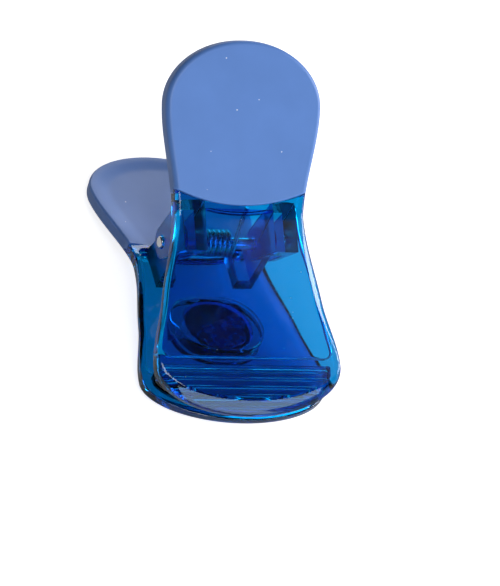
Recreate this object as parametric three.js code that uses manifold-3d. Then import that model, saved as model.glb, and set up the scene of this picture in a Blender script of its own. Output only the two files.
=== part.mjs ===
// Magnetic memo clip: two bent levers on a hinge pin, held shut by a torsion spring, with a magnet in the back.
// Millimetres. The clip lies on its back: X runs along the hinge pin, Y from jaws to handles and Z up.
// The origin is the centre of the magnet's outer face.

import * as THREE from 'three';
import { mergeVertices } from 'three/addons/utils/BufferGeometryUtils.js';
import Module from 'manifold-3d';

const wasm = await Module();
wasm.setup();

// Clearances
const seatGap = 0.3;
const gripSeam = 0.3;
const layerLap = 0.02;
const lugPlay = 0.5;
const springPlay = 0.9;

// Lever outline, measured on the flat outer face: along from the jaw tip, half widths across
const leverLength = 93.9;
const jawHalfWidth = 24.85;
const jawCornerAlong = 12.2;
const flankHalfWidth = 21.45;
const flankAlong = 29.6;
const flankTaper = -0.15;
const neckHalfWidth = 17.45;
const neckAlong = 50.8;
const headHalfWidth = 21.0;
const headAlong = 77.6;

// Side view of a lever: half angles between the two jaws and between the two handles
const jawHalfAngle = THREE.MathUtils.degToRad(13.1);
const handleHalfAngle = THREE.MathUtils.degToRad(27.9);
const tipHalfThickness = 4.2;
const bendLength = 2.6;

// Lever walls and edges
const leverDepth = 3.6;
const faceSkin = 1.4;
const rimWall = 1.5;
const edgeRound = 1.3;
const rimRound = 0.5;
const tipRoundLength = 3.95;
const tipRoundDepth = 2.1;
const tipCrease = THREE.MathUtils.degToRad(20);
const flankRoundLength = 6.0;
const flankRoundDepth = 2.4;
const hollowMargin = 1.4;
const hollowCorner = 2.2;
const hollowFillet = 0.6;
const heelReach = 5.0;
const heelSkin = 0.35;

// Jaw lands
const landAlong = 13.0;
const landShelf = 1.4;
const landInset = 2.0;
const landCorner = 2.6;
const landChamfer = 0.5;
const grooveCount = 5;
const groovePitch = 2.23;
const grooveStart = 4.35;
const grooveRadius = 0.55;

// Grips over the handle heads
const seamPastNeck = 2.0;
const seamRadius = 44;
const innerSeamStep = 2.7;
const gripDepth = 4.0;
const dishDepth = 0.55;
const dishRim = 1.7;
const dishSlope = 0.8;
const gripSkin = 0.95;
const tongueThickness = 1.0;
const tongueHalfWidth = 12.6;
const tongueMargin = 7.4;
const tongueRootLap = 0.6;

// Hinge
const hingeHeight = 48.9;
const pinDiameter = 3.0;
const pinProud = 0.8;
const pinChamfer = 0.4;
const lugThickness = 1.9;
const lugInnerThickness = 1.4;
const lugWall = 2.5;
const rearLugAcross = 12.05;
const rearLugReach = 7.6;
const frontLugReach = 9.3;
const rearBlockWidth = 5.2;
const rearBlockPart = 0.3;
const frontBlockPart = 0.45;
const lugFootMargin = 0.9;
const lugRoot = 0.7;

// Torsion spring
const springWire = 1.1;
const springPitch = 1.57;
const springTurns = 5;
const springCentre = -0.6;
const springFootMargin = 0.4;

// Magnet and its housing in the rear lever
const magnetDiameter = 17.5;
const magnetThickness = 4.5;
const magnetAlong = 29.7;
const magnetChamfer = 0.4;
const adhesiveThickness = 0.4;
const housingSideWall = 2.95;
const housingEndWall = 0.7;
const housingFloor = 1.4;
const housingRecess = 0.6;
const housingBevel = 0.5;

// Steps of round stretches
const cornerSteps = 18;
const flankSteps = 9;
const bendSteps = 3;
const handleSteps = 6;
const headSteps = 16;
const roundSteps = 5;
const filletSteps = 4;

const pinRadius = pinDiameter / 2;
const boreRadius = pinRadius + seatGap;
const lugRadius = boreRadius + lugWall;
const frontLugAcross = rearLugAcross + lugThickness + lugPlay;
const frontLugOuter = frontLugAcross + lugThickness / 2;
const rearLugOuter = rearLugAcross + lugThickness / 2;
const rearLugInner = rearLugAcross - lugThickness / 2;
const frontLugInner = rearLugInner - lugPlay - lugInnerThickness;
const pinHalfLength = frontLugOuter + pinProud;
const bendStart = neckAlong - bendLength / 2;
const bendEnd = neckAlong + bendLength / 2;
const seamAlong = neckAlong + seamPastNeck;
const innerSeamAlong = seamAlong + innerSeamStep;
const hollowEnd = seamAlong - hollowMargin;
const tongueEnd = leverLength - tongueMargin;
const pocketRadius = magnetDiameter / 2 + seatGap;
const pocketDepth = magnetThickness + seatGap + adhesiveThickness + seatGap;
const tongueDepth = gripSkin + seatGap;
const seamDepth = tongueDepth + tongueThickness / 2;
const heelDepth = tongueDepth + tongueThickness + heelSkin;

// Solids

function solid(geometry) {
  const bare = geometry.clone();
  bare.deleteAttribute('normal');
  bare.deleteAttribute('uv');
  const merged = mergeVertices(bare, 1e-5);
  const mesh = new wasm.Mesh({
    numProp: 3,
    vertProperties: new Float32Array(merged.attributes.position.array),
    triVerts: new Uint32Array(merged.index.array),
  });
  return new wasm.Manifold(mesh);
}

function geometryOf(manifold) {
  const mesh = manifold.getMesh();
  const geometry = new THREE.BufferGeometry();
  geometry.setAttribute('position', new THREE.BufferAttribute(new Float32Array(mesh.vertProperties), 3));
  geometry.setIndex(new THREE.BufferAttribute(new Uint32Array(mesh.triVerts), 1));
  return geometry;
}

// The rear lever is at +Y of the clip's middle plane, and the front lever is its mirror image.
function mirrored(geometry) {
  const result = geometry.clone();
  result.scale(1, -1, 1);
  const index = result.index.array;
  for (let i = 0; i < index.length; i += 3) {
    [index[i], index[i + 1]] = [index[i + 1], index[i]];
  }
  return result;
}

// Lever frame: a place by its distance across, along the outer face from the tip, and inward from that face

function leverPoint(across, along, inward) {
  const bend = handleHalfAngle - jawHalfAngle;
  const radius = bendLength / bend;
  const straight = Math.min(along, bendStart);
  const turned = THREE.MathUtils.clamp((along - bendStart) / bendLength, 0, 1);
  const past = Math.max(along - bendEnd, 0);
  const angle = jawHalfAngle + bend * turned;
  const y = tipHalfThickness + straight * Math.sin(jawHalfAngle)
    + radius * (Math.cos(jawHalfAngle) - Math.cos(angle)) + past * Math.sin(handleHalfAngle);
  const z = straight * Math.cos(jawHalfAngle)
    + radius * (Math.sin(angle) - Math.sin(jawHalfAngle)) + past * Math.cos(handleHalfAngle);
  return new THREE.Vector3(across, y - inward * Math.cos(angle), z + inward * Math.sin(angle));
}

function hermite(along, start, end) {
  const span = end.along - start.along;
  const s = (along - start.along) / span;
  return start.half * (1 + 2 * s) * (1 - s) ** 2 + start.taper * span * s * (1 - s) ** 2
    + end.half * s * s * (3 - 2 * s) + end.taper * span * s * s * (s - 1);
}

function halfWidth(along) {
  const jaw = { along: jawCornerAlong, half: jawHalfWidth, taper: 0 };
  const flank = { along: flankAlong, half: flankHalfWidth, taper: flankTaper };
  const neck = { along: neckAlong, half: neckHalfWidth, taper: 0 };
  const head = { along: headAlong, half: headHalfWidth, taper: 0 };
  if (along < jawCornerAlong) {
    const rise = 1 - along / jawCornerAlong;
    return jawHalfWidth * Math.sqrt(1 - rise * rise);
  }
  if (along < flankAlong) return hermite(along, jaw, flank);
  if (along < neckAlong) return hermite(along, flank, neck);
  if (along < headAlong) return hermite(along, neck, head);
  return headHalfWidth * Math.sqrt(Math.max(0, 1 - ((along - headAlong) / (leverLength - headAlong)) ** 2));
}

// Right half of the outline, from the middle of the jaw tip
function jawSide() {
  const side = [];
  for (let i = 0; i <= cornerSteps; i += 1) {
    const turn = (Math.PI / 2) * (i / cornerSteps);
    side.push([jawHalfWidth * Math.sin(turn), jawCornerAlong * (1 - Math.cos(turn))]);
  }
  return side;
}

// Points of the outline after the first along, up to and with the second
function flankSide(from, to, steps) {
  const side = [];
  for (let i = 1; i <= steps; i += 1) {
    const along = THREE.MathUtils.lerp(from, to, i / steps);
    side.push([halfWidth(along), along]);
  }
  return side;
}

function headSide() {
  const side = [];
  for (let i = 1; i <= headSteps; i += 1) {
    const turn = (Math.PI / 2) * (i / headSteps);
    side.push([headHalfWidth * Math.cos(turn), headAlong + (leverLength - headAlong) * Math.sin(turn)]);
  }
  return side;
}

// A closed loop from the points of its right half, whose first and last points are on the middle line
function loopOf(side) {
  const left = side.slice(1, -1).reverse().map(([across, along]) => [-across, along]);
  const loop = [...side, ...left];
  loop[0][0] = 0;
  loop[side.length - 1][0] = 0;
  return loop;
}

function inwardNormals(loop) {
  return loop.map((point, i) => {
    const before = loop[(i + loop.length - 1) % loop.length];
    const after = loop[(i + 1) % loop.length];
    const inEdge = new THREE.Vector2(point[0] - before[0], point[1] - before[1]).normalize();
    const outEdge = new THREE.Vector2(after[0] - point[0], after[1] - point[1]).normalize();
    const normal = new THREE.Vector2(-inEdge.y - outEdge.y, inEdge.x + outEdge.x).normalize();
    const miter = normal.dot(new THREE.Vector2(-outEdge.y, outEdge.x));
    return normal.divideScalar(Math.max(miter, 0.5));
  });
}

// A closed plate through offset copies of a loop; each ring gives [inset, inward depth] at a loop point
function plate(loop, rings) {
  const normals = inwardNormals(loop);
  const count = loop.length;
  const half = count / 2;
  const positions = [];
  const index = [];
  for (const ring of rings) {
    loop.forEach(([across, along], i) => {
      const [inset, depth] = ring(along, across);
      const insetAlong = along + normals[i].y * inset;
      const inward = typeof depth === 'function' ? depth(insetAlong) : depth;
      positions.push(...leverPoint(across + normals[i].x * inset, insetAlong, inward).toArray());
    });
  }
  for (let r = 0; r + 1 < rings.length; r += 1) {
    for (let i = 0; i < count; i += 1) {
      const a = r * count + i;
      const b = r * count + (i + 1) % count;
      index.push(a, b, b + count, a, b + count, a + count);
    }
  }
  const last = (rings.length - 1) * count;
  for (let i = 0; i < half; i += 1) {
    const near = [i, i + 1];
    const far = [(count - i) % count, (count - i - 1) % count];
    if (i > 0) index.push(near[0], far[0], near[1]);
    if (i > 0) index.push(last + near[0], last + near[1], last + far[0]);
    if (i < half - 1) index.push(near[1], far[0], far[1]);
    if (i < half - 1) index.push(last + near[1], last + far[1], last + far[0]);
  }
  const geometry = new THREE.BufferGeometry();
  geometry.setAttribute('position', new THREE.BufferAttribute(new Float32Array(positions), 3));
  geometry.setIndex(index);
  return geometry;
}

// Rounding of the outer edge: a creased bevel at the jaw tip, broad and soft on the flank, small at neck and head
function edgeShape(along) {
  const tip = Math.max(0, 1 - along / jawCornerAlong);
  const run = THREE.MathUtils.clamp((along - jawCornerAlong) / (neckAlong - jawCornerAlong), 0, 1);
  const flank = Math.sin(Math.PI * run) ** 2;
  return {
    length: edgeRound + (tipRoundLength - edgeRound) * tip + (flankRoundLength - edgeRound) * flank,
    depth: edgeRound + (tipRoundDepth - edgeRound) * tip + (flankRoundDepth - edgeRound) * flank,
    start: tipCrease * tip,
  };
}

function outerEdge() {
  const rings = [];
  for (let i = 0; i <= roundSteps; i += 1) {
    rings.push((along) => {
      const { length, depth, start } = edgeShape(along);
      const turn = THREE.MathUtils.lerp(start, Math.PI / 2, i / roundSteps);
      const out = (Math.sin(turn) - Math.sin(start)) / (1 - Math.sin(start));
      const down = (Math.cos(start) - Math.cos(turn)) / Math.cos(start);
      return [length * (1 - out), depth * down];
    });
  }
  return rings;
}

function innerEdge(depth, round) {
  const rings = [];
  for (let i = 0; i <= 2; i += 1) {
    const turn = (Math.PI / 2) * (i / 2);
    rings.push(() => [round * (1 - Math.cos(turn)), depth - round * (1 - Math.sin(turn))]);
  }
  return rings;
}

// Right half of a pocket or land that keeps an even distance from the outline, with rounded corners
function insetSide(from, to, inset, corner, steps) {
  const side = [[0, from]];
  for (let i = 0; i <= filletSteps; i += 1) {
    const turn = (Math.PI / 2) * (i / filletSteps);
    const along = from + corner * (1 - Math.cos(turn));
    side.push([halfWidth(from + corner) - inset - corner * (1 - Math.sin(turn)), along]);
  }
  for (let i = 1; i < steps; i += 1) {
    const along = THREE.MathUtils.lerp(from + corner, to - corner, i / steps);
    side.push([halfWidth(along) - inset, along]);
  }
  for (let i = 0; i <= filletSteps; i += 1) {
    const turn = (Math.PI / 2) * (i / filletSteps);
    const along = to - corner * (1 - Math.sin(turn));
    side.push([halfWidth(to - corner) - inset - corner * (1 - Math.cos(turn)), along]);
  }
  side.push([0, to]);
  return side;
}

// How far the seam has curved away from its middle at a distance across
function seamRise(across) {
  return seamRadius - Math.sqrt(seamRadius ** 2 - across ** 2);
}

// Shell of a lever: a rounded plate, hollowed from inside between the jaw land and the grip

function shellPlate() {
  const end = innerSeamAlong + edgeRound;
  const side = [
    ...jawSide(),
    ...flankSide(jawCornerAlong, bendStart, flankSteps),
    ...flankSide(bendStart, bendEnd, bendSteps),
    ...flankSide(bendEnd, end, 2),
    [0, end + edgeRound],
  ];
  return plate(loopOf(side), [...outerEdge(), ...innerEdge(leverDepth, rimRound)]);
}

function hollow() {
  const side = insetSide(landAlong + landShelf, hollowEnd, rimWall, hollowCorner, flankSteps);
  const middle = side.pop();
  const [corner] = side.at(-1);
  for (let i = 1; i < bendSteps; i += 1) side.push([corner * (1 - i / bendSteps), hollowEnd]);
  side.push(middle);
  const bowed = side.map(([across, along]) => {
    const weight = THREE.MathUtils.clamp(1 - (hollowEnd - along) / hollowCorner, 0, 1);
    return [across, along + weight * seamRise(Math.min(across, tongueHalfWidth))];
  });
  const rings = [];
  for (let i = 0; i <= filletSteps; i += 1) {
    const turn = (Math.PI / 2) * (i / filletSteps);
    rings.push((along) => {
      const { length, depth } = edgeShape(along);
      const wide = Math.max(hollowFillet, length - rimWall);
      const deep = Math.max(hollowFillet, depth - faceSkin);
      return [wide * (1 - Math.sin(turn)), faceSkin + deep * (1 - Math.cos(turn))];
    });
  }
  rings.push(() => [0, leverDepth + rimRound]);
  return plate(loopOf(bowed), rings);
}

// Shallow heel of the hollow, between the lugs and the grip's end wall
function heel() {
  const side = insetSide(hollowEnd - heelReach, innerSeamAlong - rimWall, rimWall, hollowCorner, bendSteps);
  return plate(loopOf(side), [
    () => [hollowFillet, heelDepth],
    () => [0, heelDepth + hollowFillet],
    () => [0, leverDepth + rimRound],
  ]);
}

// Depth at which the lands of the two jaws face each other in parallel, half a seat gap from the middle plane
function landDepth(along) {
  return (tipHalfThickness + along * Math.sin(jawHalfAngle) - seatGap / 2) / Math.cos(jawHalfAngle);
}

function landSide() {
  const side = jawSide().filter(([, along]) => along < landAlong - landCorner);
  const edge = halfWidth(landAlong - landCorner);
  for (let i = 0; i <= filletSteps; i += 1) {
    const turn = (Math.PI / 2) * (i / filletSteps);
    const across = edge - landCorner * (1 - Math.cos(turn));
    side.push([across, landAlong - landCorner * (1 - Math.sin(turn)) + landInset]);
  }
  side.push([0, landAlong + landInset]);
  return side;
}

function jawLand() {
  return plate(loopOf(landSide()), [
    () => [landInset, leverDepth - rimRound],
    () => [landInset, (along) => landDepth(along) - landChamfer],
    () => [landInset + landChamfer, landDepth],
  ]);
}

function grooves() {
  const cutters = [];
  for (let i = 0; i < grooveCount; i += 1) {
    const groove = new THREE.CylinderGeometry(grooveRadius, grooveRadius, 2 * jawHalfWidth, 8);
    groove.rotateZ(Math.PI / 2);
    groove.translate(0, seatGap / 2, grooveStart + i * groovePitch);
    cutters.push(groove);
  }
  return cutters;
}

// Tongue of the shell, on which the grip sits; the clearance turns it into the grip's pocket
function tongue(clearance) {
  const radius = tongueHalfWidth + clearance;
  const centre = tongueEnd - tongueHalfWidth;
  const root = hollowEnd + tongueRootLap;
  const side = [[0, root], [radius, root], [radius, seamAlong]];
  for (let i = 0; i <= headSteps; i += 1) {
    const turn = (Math.PI / 2) * (i / headSteps);
    side.push([radius * Math.cos(turn), centre + radius * Math.sin(turn)]);
  }
  return plate(loopOf(side), [
    () => [0, tongueDepth - clearance],
    () => [0, tongueDepth + tongueThickness + clearance],
  ]);
}

// Everything on the grip's side of the seam: an arc on the outer half of the depth, straight on the inner half
// The clearance widens it, so that what is cut by it keeps that distance to the grip.
function gripSide(clearance) {
  const far = leverLength + edgeRound;
  const wide = headHalfWidth + edgeRound;
  const start = seamAlong - clearance;
  const side = [];
  const sweep = Math.asin(wide / seamRadius);
  for (let i = 0; i <= headSteps; i += 1) {
    const turn = sweep * (i / headSteps);
    side.push([seamRadius * Math.sin(turn), start + seamRadius * (1 - Math.cos(turn))]);
  }
  const outer = plate(loopOf([...side, [wide, far], [0, far + edgeRound]]), [
    () => [0, -edgeRound],
    () => [0, seamDepth + clearance],
  ]);
  const innerStart = innerSeamAlong - clearance;
  const innerLoop = loopOf([[0, innerStart], [wide, innerStart], [wide, far], [0, far + edgeRound]]);
  const inner = plate(innerLoop, [
    () => [0, seamDepth - clearance - layerLap],
    () => [0, gripDepth + edgeRound],
  ]);
  return solid(outer).add(solid(inner));
}

// A slab of a hinge lug, from two feet on the lever's inner wall towards a round eye about the pin
// A part of 1 ends in the eye, tangent to it; a lesser part is the lug's broad foot.
function lugSlab(reach, part, inner, outer) {
  const eye = new THREE.Vector2(0, hingeHeight);
  const feet = [
    leverPoint(0, neckAlong - reach, lugRoot),
    leverPoint(0, neckAlong, lugRoot),
    leverPoint(0, seamAlong, lugRoot),
    leverPoint(0, innerSeamAlong - lugFootMargin, seamDepth + 2 * gripSeam),
  ].map((point) => new THREE.Vector2(point.y, point.z));
  const tangentAngle = (point, sense) => {
    const offset = point.clone().sub(eye);
    return offset.angle() + sense * Math.acos(lugRadius / offset.length());
  };
  const low = tangentAngle(feet[0], -1);
  const high = tangentAngle(feet.at(-1), 1);
  const shape = new THREE.Shape(feet);
  if (part < 1) {
    const onEye = (angle) => new THREE.Vector2(Math.cos(angle), Math.sin(angle)).multiplyScalar(lugRadius).add(eye);
    const upper = feet.at(-1).clone().lerp(onEye(high), part);
    const lower = feet[0].clone().lerp(onEye(low), part);
    shape.lineTo(upper.x, upper.y);
    shape.lineTo(lower.x, lower.y);
  } else {
    shape.absarc(eye.x, eye.y, lugRadius, high, low, false);
  }
  shape.closePath();
  const geometry = new THREE.ExtrudeGeometry(shape, {
    depth: outer - inner,
    bevelEnabled: false,
    curveSegments: 12,
  });
  const toClip = new THREE.Matrix4().makeBasis(
    new THREE.Vector3(0, 1, 0),
    new THREE.Vector3(0, 0, 1),
    new THREE.Vector3(1, 0, 0),
  );
  geometry.applyMatrix4(toClip);
  geometry.translate(inner, 0, 0);
  return geometry;
}

// The rear lug is one plate; the front lug is a fork of two plates, which takes the rear lug between them
function rearLug() {
  const foot = lugSlab(rearLugReach, rearBlockPart, rearLugOuter - rearBlockWidth, rearLugOuter);
  return solid(lugSlab(rearLugReach, 1, rearLugInner, rearLugOuter)).add(solid(foot));
}

function frontLug() {
  const foot = lugSlab(frontLugReach, frontBlockPart, frontLugInner, frontLugOuter);
  const outerPlate = lugSlab(frontLugReach, 1, frontLugOuter - lugThickness, frontLugOuter);
  const innerPlate = lugSlab(frontLugReach, 1, frontLugInner, frontLugInner + lugInnerThickness);
  return solid(outerPlate).add(solid(innerPlate)).add(solid(foot));
}

function hingeBore() {
  const bore = new THREE.CylinderGeometry(boreRadius, boreRadius, 2 * (pinHalfLength + lugThickness), 20);
  bore.rotateZ(Math.PI / 2);
  bore.translate(0, 0, hingeHeight);
  return bore;
}

function shellBody(lug) {
  let body = solid(shellPlate()).subtract(gripSide(gripSeam));
  body = body.subtract(solid(hollow())).subtract(solid(heel()));
  body = body.add(solid(tongue(0))).add(solid(jawLand()));
  for (const cutter of grooves()) body = body.subtract(solid(cutter));
  return body.add(lug).add(lug.mirror([1, 0, 0])).subtract(solid(hingeBore()));
}

// Rest plane: the plane behind the rear lever that touches the bevelled jaw tip and the rounded head

function edgeTouch(length, depth, tilt) {
  const reach = Math.hypot(length * Math.sin(tilt), depth * Math.cos(tilt));
  return {
    past: length * length * Math.sin(tilt) / reach,
    under: depth - depth * depth * Math.cos(tilt) / reach,
  };
}

function restPlane() {
  let angle = (jawHalfAngle + handleHalfAngle) / 2;
  let heel;
  for (let i = 0; i < 6; i += 1) {
    const atTip = edgeTouch(tipRoundLength, tipRoundDepth, angle - jawHalfAngle);
    const atHead = edgeTouch(edgeRound, edgeRound, handleHalfAngle - angle);
    heel = leverPoint(0, tipRoundLength - atTip.past, atTip.under);
    const head = leverPoint(0, leverLength - edgeRound + atHead.past, atHead.under);
    angle = Math.atan2(head.y - heel.y, head.z - heel.z);
  }
  return { angle, heel };
}

const rest = restPlane();
const restAlong = new THREE.Vector3(0, Math.sin(rest.angle), Math.cos(rest.angle));
const restUp = new THREE.Vector3(0, -Math.cos(rest.angle), Math.sin(rest.angle));
const magnetFoot = leverPoint(0, magnetAlong, 0);
const magnetCentre = magnetFoot.clone().addScaledVector(restUp, -magnetFoot.clone().sub(rest.heel).dot(restUp));

// Moves a shape that is drawn on the rest plane about the magnet's centre into the clip's frame
function fromRestPlane(geometry) {
  const basis = new THREE.Matrix4().makeBasis(new THREE.Vector3(1, 0, 0), restAlong, restUp);
  geometry.applyMatrix4(basis.setPosition(magnetCentre));
  return geometry;
}

function disc(radius, height, base, chamfer) {
  const profile = [
    new THREE.Vector2(0, 0),
    new THREE.Vector2(radius - chamfer, 0),
    new THREE.Vector2(radius, chamfer),
    new THREE.Vector2(radius, height - chamfer),
    new THREE.Vector2(radius - chamfer, height),
    new THREE.Vector2(0, height),
  ];
  const geometry = new THREE.LatheGeometry(profile, 40);
  geometry.rotateX(Math.PI / 2);
  geometry.translate(0, 0, base);
  return fromRestPlane(geometry);
}

function magnetHousing() {
  const halfLength = pocketRadius + housingEndWall;
  const reach = housingSideWall - housingEndWall;
  const shape = new THREE.Shape();
  shape.absarc(reach, 0, halfLength - housingBevel, -Math.PI / 2, Math.PI / 2, false);
  shape.absarc(-reach, 0, halfLength - housingBevel, Math.PI / 2, 1.5 * Math.PI, false);
  shape.closePath();
  const geometry = new THREE.ExtrudeGeometry(shape, {
    depth: pocketDepth + housingFloor - housingRecess - 2 * housingBevel,
    bevelThickness: housingBevel,
    bevelSize: housingBevel,
    bevelSegments: 1,
    curveSegments: 16,
  });
  geometry.translate(0, 0, housingRecess + housingBevel);
  return fromRestPlane(geometry);
}

function magnetPocket() {
  const below = magnetThickness;
  const geometry = new THREE.CylinderGeometry(pocketRadius, pocketRadius, pocketDepth + below, 40);
  geometry.rotateX(Math.PI / 2);
  geometry.translate(0, 0, (pocketDepth - below) / 2);
  return fromRestPlane(geometry);
}

function rearShellGeometry() {
  const body = shellBody(rearLug());
  return geometryOf(body.add(solid(magnetHousing())).subtract(solid(magnetPocket())));
}

function frontShellGeometry() {
  return mirrored(geometryOf(shellBody(frontLug())));
}

// Grip: a rounded cap over the handle head, dished on its inner side, with a pocket for the tongue
function gripGeometry() {
  const side = [
    [0, bendStart - edgeRound],
    ...flankSide(bendStart - bendLength, bendStart, 1),
    ...flankSide(bendStart, bendEnd, bendSteps),
    ...flankSide(bendEnd, headAlong, handleSteps),
    ...headSide(),
  ];
  const blank = plate(loopOf(side), [
    ...outerEdge(),
    ...innerEdge(gripDepth, edgeRound / 2),
    () => [dishRim, gripDepth],
    () => [dishRim + dishSlope, gripDepth - dishDepth],
  ]);
  return geometryOf(solid(blank).intersect(gripSide(0)).subtract(solid(tongue(seatGap))));
}

// Hinge pin with chamfered ends
function pinGeometry() {
  const profile = [
    new THREE.Vector2(0, -pinHalfLength),
    new THREE.Vector2(pinRadius - pinChamfer, -pinHalfLength),
    new THREE.Vector2(pinRadius, -pinHalfLength + pinChamfer),
    new THREE.Vector2(pinRadius, pinHalfLength - pinChamfer),
    new THREE.Vector2(pinRadius - pinChamfer, pinHalfLength),
    new THREE.Vector2(0, pinHalfLength),
  ];
  const geometry = new THREE.LatheGeometry(profile, 20);
  geometry.rotateZ(Math.PI / 2);
  geometry.translate(0, 0, hingeHeight);
  return geometry;
}

// Torsion spring: one wire from the rear lever, round the pin and out to the front lever

function springPath() {
  const radius = pinRadius + springPlay + springWire / 2;
  const foot = leverPoint(0, seamAlong - springFootMargin, heelDepth + seatGap + springWire / 2);
  const arm = new THREE.Vector2(-foot.y, foot.z - hingeHeight);
  const leave = arm.angle() + Math.acos(radius / arm.length());
  const enter = Math.PI - leave;
  const sweep = springTurns * 2 * Math.PI + ((enter - leave) + 2 * Math.PI) % (2 * Math.PI);
  const steps = Math.round(sweep / (Math.PI / 4));
  const width = springPitch * sweep / (2 * Math.PI);
  const left = springCentre - width / 2;
  const right = springCentre + width / 2;
  const points = [new THREE.Vector3(left, foot.y, foot.z)];
  for (let i = 0; i <= steps; i += 1) {
    const turn = enter - sweep * (i / steps);
    const across = THREE.MathUtils.lerp(left, right, i / steps);
    points.push(new THREE.Vector3(across, radius * Math.cos(turn), hingeHeight + radius * Math.sin(turn)));
  }
  points.push(new THREE.Vector3(right, -foot.y, foot.z));
  return points;
}

// A five-sided tube along a path; the section is carried from point to point without twist
function wireGeometry(path, radius) {
  const sides = 5;
  const positions = [];
  const index = [];
  const tangents = path.map((point, i) => {
    const before = path[Math.max(i - 1, 0)];
    const after = path[Math.min(i + 1, path.length - 1)];
    const inStep = point.clone().sub(before).normalize();
    const outStep = after.clone().sub(point).normalize();
    return inStep.add(outStep).normalize();
  });
  const normal = new THREE.Vector3(1, 0, 0);
  path.forEach((point, i) => {
    const tangent = tangents[i];
    normal.addScaledVector(tangent, -normal.dot(tangent)).normalize();
    const side = tangent.clone().cross(normal);
    for (let k = 0; k < sides; k += 1) {
      const turn = 2 * Math.PI * (k / sides);
      const spoke = normal.clone().multiplyScalar(radius * Math.cos(turn));
      positions.push(...spoke.addScaledVector(side, radius * Math.sin(turn)).add(point).toArray());
    }
  });
  for (let i = 0; i + 1 < path.length; i += 1) {
    for (let k = 0; k < sides; k += 1) {
      const a = i * sides + k;
      const b = i * sides + (k + 1) % sides;
      index.push(a, b, b + sides, a, b + sides, a + sides);
    }
  }
  const last = (path.length - 1) * sides;
  for (let k = 1; k + 1 < sides; k += 1) {
    index.push(0, k + 1, k);
    index.push(last, last + k, last + k + 1);
  }
  const geometry = new THREE.BufferGeometry();
  geometry.setAttribute('position', new THREE.BufferAttribute(new Float32Array(positions), 3));
  geometry.setIndex(index);
  return geometry;
}

// Least distance between stretches of the wire that are more than half a turn apart
function leastWireGap(path, diameter) {
  const samples = [];
  let run = 0;
  for (let i = 0; i + 1 < path.length; i += 1) {
    const step = path[i].distanceTo(path[i + 1]);
    const parts = Math.ceil(step / (diameter / 4));
    for (let k = 0; k < parts; k += 1) {
      samples.push({ place: path[i].clone().lerp(path[i + 1], k / parts), run: run + step * (k / parts) });
    }
    run += step;
  }
  const apart = Math.PI * (pinRadius + springPlay + diameter / 2);
  let least = Infinity;
  samples.forEach((one, i) => {
    for (const other of samples.slice(i + 1)) {
      if (other.run - one.run > apart) least = Math.min(least, one.place.distanceTo(other.place) - diameter);
    }
  });
  return least;
}

// Materials

const bluePlastic = new THREE.MeshStandardMaterial({ color: 0x0a4da6, roughness: 0.12, metalness: 0 });
const gripPlastic = new THREE.MeshStandardMaterial({ color: 0x6388c8, roughness: 0.5, metalness: 0 });
const steel = new THREE.MeshStandardMaterial({ color: 0xc4c8cc, roughness: 0.3, metalness: 1 });
const springSteel = new THREE.MeshStandardMaterial({ color: 0x9aa0a6, roughness: 0.35, metalness: 1 });
const ferrite = new THREE.MeshStandardMaterial({ color: 0x1b1d22, roughness: 0.55, metalness: 0.3 });
const adhesive = new THREE.MeshStandardMaterial({ color: 0xb9c4cc, roughness: 0.25, metalness: 0 });

// Assembly

const clip = new THREE.Group();
clip.rotation.x = rest.angle - Math.PI / 2;
clip.position.copy(magnetCentre).applyEuler(clip.rotation).negate();

function addNode(name, geometry, material) {
  const mesh = new THREE.Mesh(geometry, material);
  mesh.name = name;
  clip.add(mesh);
}

const springWirePath = springPath();
const gripShape = gripGeometry();
addNode('rear_shell', rearShellGeometry(), bluePlastic);
addNode('front_shell', frontShellGeometry(), bluePlastic);
addNode('rear_grip', gripShape, gripPlastic);
addNode('front_grip', mirrored(gripShape), gripPlastic);
addNode('hinge_pin', pinGeometry(), steel);
addNode('torsion_spring', wireGeometry(springWirePath, springWire / 2), springSteel);
addNode('magnet', disc(magnetDiameter / 2, magnetThickness, 0, magnetChamfer), ferrite);
addNode('magnet_adhesive', disc(magnetDiameter / 2, adhesiveThickness, magnetThickness + seatGap, 0.1), adhesive);

console.log(`torsion spring least gap ${leastWireGap(springWirePath, springWire).toFixed(2)} mm`);

const model = new THREE.Group();
model.add(clip);

export default model;
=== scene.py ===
# Magnetic memo clip: two clear blue levers with satin grips, on a steel pin with a torsion spring.
# Frame, in metres: X along the hinge pin, Y from jaws to handles, Z up; the clip lies on its back.
# Shapes are drawn in millimetres, upright about the middle plane with the jaw tips down, then moved.

import math
import random

import bmesh
import bpy
from mathutils import Matrix, Vector


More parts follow.
